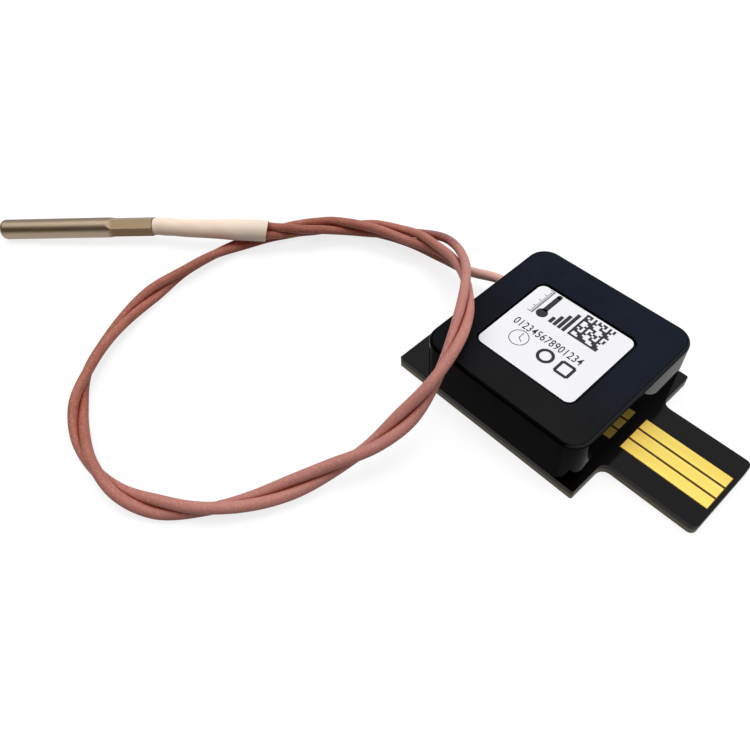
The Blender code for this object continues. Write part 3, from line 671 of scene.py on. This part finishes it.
# Numbers of fine points: how far along a neighbour is sought, over how many moves are averaged and
# eased in, and how far along a strand counts as another turn of the loop
NEAR, AVERAGED, EASED, OTHER_TURN = 20, 4, 9, 60
# The loose stretch keeps a share of its gap, and a gap wider than WIDE_GAP closes less and less
LOOSE_AT, LOOSE_SHARE, WIDE_GAP, WIDE_FADE = 31.5 * ROUTE_STEPS, 0.45, 0.55, 1.4
PRESSED_IN, TURNS_APART, TURNS_PUSH, FLOOR_ROOM = 0.03, 0.03, 0.6, 0.02
CLOSING_ROUNDS = 3


def thickness(i):
    """Share of WIRE_RADIUS at point i of a fine route."""
    place = i / ROUTE_STEPS
    for (low, first), (high, last) in zip(THICKNESS, THICKNESS[1:]):
        if place <= high:
            return first + (last - first) * (place - low) / (high - low)


def smooth_route(route, steps):
    """Points on a smooth curve through the route: Catmull-Rom, `steps` points a span."""
    last = len(route) - 1
    slopes = []
    for i in range(last + 1):
        low, high = max(i - 1, 0), min(i + 1, last)
        slopes.append((route[high] - route[low]) / (high - low))
    points = []
    for i in range(last):
        for k in range(steps):
            s = k / steps
            points.append((2 * s**3 - 3 * s**2 + 1) * route[i] + (s**3 - 2 * s**2 + s) * slopes[i]
                          + (3 * s**2 - 2 * s**3) * route[i + 1] + (s**3 - s**2) * slopes[i + 1])
    points.append(route[last])
    return points


def nearest(points, point):
    """The way from a point to the nearest of the others."""
    return min(points, key=lambda other: (other - point).length_squared) - point


def closed_up(first, second):
    """Both strands' points, moved together where only the modelling gap parts them.

    Strands that cross another turn of the loop are held clear of it, and of the floor.
    """
    result = []
    for here, there in ((first, second), (second, first)):
        moves = []
        for i, point in enumerate(here):
            apart = nearest(there[max(i - NEAR, 0):i + NEAR], point)
            gap = (apart.length - 2 * WIRE_RADIUS * thickness(i)) / mm + PRESSED_IN
            free = min(max((i - EASED) / EASED, 0), 1)
            close = min(gap, WIDE_GAP - WIDE_FADE * max(gap - WIDE_GAP, 0))
            if gap > 0:
                free *= min(max((abs(i - LOOSE_AT) - EASED) / EASED, LOOSE_SHARE), 1)
            move = apart.normalized() * 0.5 * max(close, min(gap, 0)) * free * mm
            for strand in (here, there):
                for part in (strand[:max(i - OTHER_TURN, 0)], strand[i + OTHER_TURN:]):
                    if part:
                        away = nearest(part, point)
                        sunk = 2 * WIRE_RADIUS + TURNS_APART * mm - away.length
                        move -= away.normalized() * TURNS_PUSH * max(sunk, 0)
            moves.append(move)
        last = len(moves) - 1
        moved = []
        for i, point in enumerate(here):
            window = [moves[min(max(i + k, 0), last)] for k in range(-AVERAGED, AVERAGED + 1)]
            moved.append(point + sum(window, Vector()) / len(window))
        result.append(moved)
    for points in result:
        for i, point in enumerate(points):
            point.z = max(point.z, WIRE_RADIUS * thickness(i) + FLOOR_ROOM * mm)
    return result


def wire(name, points, low, high):
    """A strand through fine points, its insulation's colour between two."""
    curve = bpy.data.curves.new(name, "CURVE")
    curve.dimensions = "3D"
    curve.bevel_depth = WIRE_RADIUS
    curve.bevel_resolution = 7
    curve.use_fill_caps = True
    spline = curve.splines.new("POLY")
    spline.points.add(len(points) - 1)
    for i, (target, point) in enumerate(zip(spline.points, points)):
        target.co = (*point, 1)
        target.radius = thickness(i)
    spline.use_smooth = True
    look = wire_look(name.replace("wire", "insulation"), low, high)
    return add_piece(name, curve, look, f"probe_{name}")


# The sleeve's centre line from the tube to its mouth, with its radius
SLEEVE_ROUTE = [
    (-67.22, -21.4, 2.9, 1.36), (-66.1, -20.42, 2.96, 1.44),
    (-63.7, -18.9, 3.15, 1.41), (-61.0, -16.85, 3.3, 1.47), (-58.3, -14.8, 3.5, 1.58),
    (-55.7, -12.8, 3.65, 1.68), (-52.25, -10.1, 3.85, 1.7),
]
MOUTH_SLANT = Vector((0.149, -0.042, 0.334))
SLEEVE_STEPS, SLEEVE_AROUND, SLANTED_RINGS = 14, 48, 28
SLEEVE_SHRUNK, WRINKLE_DEPTH, MOUTH_ROUND = 0.988, 0.03, 0.03
# The mouth's edge and the bore behind it: depth, wall
MOUTH_RINGS = ((-MOUTH_ROUND, 0.05), (-MOUTH_ROUND, 0.10),
               (0.0, 0.14), (1.5, 0.14), (3.2, 0.16), (4.4, 0.2))
# Inside the sleeve's mouth the wires run on along its axis, a little closer together
DEPTHS_INSIDE, CLOSER_INSIDE = (1.2, 2.6, 4.0), 0.84

mouth = Vector(SLEEVE_ROUTE[-1][:3])
inward = (Vector(SLEEVE_ROUTE[-2][:3]) - mouth).normalized()
half = (Vector(ROUTE_A[-1]) - Vector(ROUTE_B[-1])) / 2
inside = [mouth + inward * depth for depth in DEPTHS_INSIDE]
route_a = ROUTE_A + [middle + half * CLOSER_INSIDE for middle in inside]
route_b = ROUTE_B + [middle - half * CLOSER_INSIDE for middle in inside]
fine_a = smooth_route([Vector(point) * mm for point in route_a], ROUTE_STEPS)
fine_b = smooth_route([Vector(point) * mm for point in route_b], ROUTE_STEPS)
for _ in range(CLOSING_ROUNDS):
    fine_a, fine_b = closed_up(fine_a, fine_b)
wire_a = wire("wire_a", fine_a, srgb(154, 88, 70), srgb(169, 103, 86))
wire_b = wire("wire_b", fine_b, srgb(148, 82, 64), srgb(163, 97, 80))


def sleeve_mesh():
    """Shrink sleeve: rings along its route, slightly wrinkled, its mouth cut a little slantwise."""
    points = smooth_route([Vector(point) for point in SLEEVE_ROUTE], SLEEVE_STEPS)
    centres = [Vector(point[:3]) for point in points]
    bm = bmesh.new()
    rings = []

    def ring(centre, ahead, radii, slant=1.0):
        side = ahead.cross(Vector((0, 0, 1))).normalized()
        over = side.cross(ahead).normalized()
        made = []
        for turn, radius in zip(turns(SLEEVE_AROUND), radii):
            spoke = (side * math.cos(turn) + over * math.sin(turn)) * radius
            forward = ahead * spoke.dot(MOUTH_SLANT) * slant
            made.append(bm.verts.new((centre + spoke + forward) * mm))
        rings.append(made)

    last = len(points) - 1
    for i, point in enumerate(points):
        ahead = (centres[min(i + 1, last)] - centres[max(i - 1, 0)]).normalized()
        s = i / last
        ease = math.sin(math.pi * min(s * 1.02, 1)) ** 0.5
        radii = []
        for turn in turns(SLEEVE_AROUND):
            fold = math.sin(3 * turn + 9 * s) * math.sin(17 * s + 1.3) * 0.022
            fold += math.sin(2 * turn - 21 * s + 0.6) * 0.016 + math.sin(5 * turn + 31 * s) * 0.008
            radii.append(point[3] * SLEEVE_SHRUNK + (fold - WRINKLE_DEPTH) * ease)
        ring(centres[i], ahead, radii, max(i - last + SLANTED_RINGS, 0) / SLANTED_RINGS)
    out = (centres[-1] - centres[-2]).normalized()
    for depth, wall in MOUTH_RINGS:
        ring(centres[-1] - out * depth, out, [points[-1][3] - wall] * SLEEVE_AROUND)
    mesh = lofted(bm, rings, "sleeve")
    smoothed(mesh, 50)
    return mesh


sleeve = add_piece("sleeve", sleeve_mesh(), sleeve_look(), "cable_sleeve")


# ---- label print: plain fields and simple shapes, in millimetres

label_top = label_high.z / mm
PRINT = (label_top + 0.002, label_top + 0.012)
SCALE_X, SCALE_Y, TICK_STEP, TICKS, SHORT_TICK, LONG_TICK = -9.75, 1.2, 0.235, 21, 0.42, 0.75
SCALE_ENDS, SCALE_LINE, TICK_LINE = (1.15, 5.95), 0.11, 0.085
STEM_X, STEM_TOP, STEM_FOOT, STEM_WIDTH, BULB_Y, BULB_RADIUS = -8.75, 5.6, 2.4, 0.72, 1.95, 0.78
BAR_X, BAR_Y, BAR_STEP, BAR_WIDTH, BAR_HEIGHTS = -7.35, 1.35, 0.68, 0.5, (1.1, 1.9, 2.7, 3.6)
CLOCK_X, CLOCK_Y, CLOCK_RADIUS, CLOCK_LINE = -8.15, -3.25, 1.25, 0.1
BLOCK_X, BLOCK_Y, BLOCK_PITCH, BLOCK_COUNT = -4.4, 1.4, 0.31, 14
RING_X, RING_Y, RING_RADIUS, RING_LINE = -3.95, -3.3, 0.95, 0.42
SQUARE, SQUARE_LINE = ((-1.9, -4.25), (-0.1, -4.25), (-0.1, -2.45), (-1.9, -2.45)), 0.4
ink = ink_look()
bm = bmesh.new()


def stroke(x0, y0, x1, y1, width):
    along = Vector((x1 - x0, y1 - y0)).normalized()
    side = Vector((-along.y, along.x)) * width / 2
    prism(bm, [(x0 + side.x, y0 + side.y), (x0 - side.x, y0 - side.y),
               (x1 - side.x, y1 - side.y), (x1 + side.x, y1 + side.y)], *PRINT)


def disc(x, y, radius, steps=24):
    prism(bm, [(x + radius * math.cos(t), y + radius * math.sin(t)) for t in turns(steps)], *PRINT)


def ring(x, y, radius, width, steps=32):
    for k in range(steps):
        first, second = 2 * math.pi * k / steps, 2 * math.pi * (k + 1) / steps
        prism(bm, [(x + r * math.cos(t), y + r * math.sin(t)) for r, t in (
            (radius - width / 2, first), (radius + width / 2, first),
            (radius + width / 2, second), (radius - width / 2, second))], *PRINT)


def square_pattern(x0, y0, pitch, count):
    """A block of small squares set by a plain rule, closed along two of its sides."""
    for i in range(count):
        for j in range(count):
            edge = i == 0 or j == 0
            if edge or (i * i + 3 * i * j + 2 * j) % 7 in (0, 2, 3):
                x, y = x0 + i * pitch, y0 + j * pitch
                prism(bm, [(x, y), (x + pitch, y), (x + pitch, y + pitch), (x, y + pitch)], *PRINT)


# scale with ticks along the back edge, every fifth longer
for k in range(TICKS):
    y = SCALE_Y + k * TICK_STEP
    stroke(SCALE_X, y, SCALE_X - (SHORT_TICK if k % 5 else LONG_TICK), y, TICK_LINE)
stroke(SCALE_X, SCALE_ENDS[0], SCALE_X, SCALE_ENDS[1], SCALE_LINE)
# thermometer
stroke(STEM_X, STEM_TOP, STEM_X, STEM_FOOT, STEM_WIDTH)
disc(STEM_X, STEM_TOP, STEM_WIDTH / 2)
disc(STEM_X, BULB_Y, BULB_RADIUS)
# rising bars
for k, height in enumerate(BAR_HEIGHTS):
    x = BAR_X + k * BAR_STEP
    prism(bm, [(x, BAR_Y), (x + BAR_WIDTH, BAR_Y),
               (x + BAR_WIDTH, BAR_Y + height), (x, BAR_Y + height)], *PRINT)
# block of small squares
square_pattern(BLOCK_X, BLOCK_Y, BLOCK_PITCH, BLOCK_COUNT)
# clock
ring(CLOCK_X, CLOCK_Y, CLOCK_RADIUS, CLOCK_LINE)
stroke(CLOCK_X, CLOCK_Y, CLOCK_X, CLOCK_Y + 0.95, CLOCK_LINE)
stroke(CLOCK_X, CLOCK_Y, CLOCK_X + 0.65, CLOCK_Y - 0.35, CLOCK_LINE)
# ring and square
ring(RING_X, RING_Y, RING_RADIUS, RING_LINE)
for first, second in zip(SQUARE, SQUARE[1:] + SQUARE[:1]):
    stroke(*first, *second, SQUARE_LINE)
add_piece("label_print", finished_mesh(bm, "label_print"), ink)

digits = bpy.data.curves.new("label_digits", "FONT")
digits.body = "012345678901234"
digits.size = 1.7 * mm
digits.space_character = 1.08
digits.extrude = 0.005 * mm
digits.offset = 0.012 * mm
numbers = add_piece("label_digits", digits, ink)
numbers.location = (-10.5 * mm, -1.72 * mm, (label_top + 0.007) * mm)
numbers.scale.x = 0.76


# ---- studio

FLOOR_SIZE, FLOOR_DROP = 16.0, 0.02 * mm
FLOOR_COLOUR, FLOOR_GLOW = (0.27, 0.27, 0.27), 0.78
WHITE = (1, 1, 1)
# The room is bright behind the object and overhead, and dark on the camera's side
TOWARDS_BRIGHT, FADE_START, FADE_END = (0.0, 0.6, 0.8), 0.05, 0.65
DARK_SIDE, BRIGHT_SIDE = (0.10, 0.057, 0.027), (0.90, 0.92, 0.95)

bm = bmesh.new()
bmesh.ops.create_grid(bm, x_segments=1, y_segments=1, size=FLOOR_SIZE / 2)
floor = bpy.data.objects.new("floor", finished_mesh(bm, "floor"))
floor.location.z = -FLOOR_DROP
bpy.context.scene.collection.objects.link(floor)

# The paper glows white in the camera's view, in glosses and through glass, and keeps its shadow
paper = bpy.data.materials.new("floor_paper")
paper.use_nodes = True
paper.node_tree.nodes.clear()
floor.data.materials.append(paper)
graph = Graph(paper.node_tree)
rays = graph.add("ShaderNodeLightPath").outputs
diffuse = graph.add("ShaderNodeBsdfDiffuse")
graph.feed(diffuse.inputs["Color"], FLOOR_COLOUR)
glow = graph.add("ShaderNodeEmission")
graph.feed(glow.inputs["Color"], WHITE)
graph.feed(glow.inputs["Strength"], FLOOR_GLOW)
both = graph.add("ShaderNodeAddShader")
graph.feed(both.inputs[0], diffuse.outputs[0])
graph.feed(both.inputs[1], glow.outputs[0])
seen = rays["Is Camera Ray"]
for kind in ("Is Glossy Ray", "Is Transmission Ray"):
    seen = graph.math("MAXIMUM", seen, rays[kind])
pick = graph.add("ShaderNodeMixShader")
for socket, value in zip(pick.inputs, (seen, diffuse.outputs[0], both.outputs[0])):
    graph.feed(socket, value)
graph.feed(graph.add("ShaderNodeOutputMaterial").inputs["Surface"], pick.outputs[0])

world = bpy.data.worlds.new("studio")
bpy.context.scene.world = world
world.use_nodes = True
graph = Graph(world.node_tree)
towards = graph.add("ShaderNodeVectorMath", operation="DOT_PRODUCT")
graph.feed(towards.inputs[0], graph.add("ShaderNodeTexCoord").outputs["Generated"])
graph.feed(towards.inputs[1], TOWARDS_BRIGHT)
fade = graph.span(towards.outputs["Value"], FADE_START, FADE_END)
sky = world.node_tree.nodes["Background"].inputs
graph.feed(sky["Color"], graph.mix(fade, DARK_SIDE, BRIGHT_SIDE))
graph.feed(sky["Strength"], 1.0)


def softbox(name, where, target, side, power):
    """A square lamp that faces its target, in metres and watts."""
    light = bpy.data.lights.new(name, "AREA")
    light.shape = "RECTANGLE"
    light.size = light.size_y = side
    light.energy = power
    made = bpy.data.objects.new(name, light)
    made.location = where
    made.rotation_mode = "QUATERNION"
    made.rotation_quaternion = (Vector(target) - Vector(where)).to_track_quat("-Z", "Y")
    bpy.context.scene.collection.objects.link(made)


softbox("key_light", (0.0, 0.05, 0.42), (-0.02, -0.01, 0), 0.16, 0.52)
softbox("side_light", (-0.255, -0.154, 0.396), (-0.05, -0.02, 0), 0.36, 0.55)
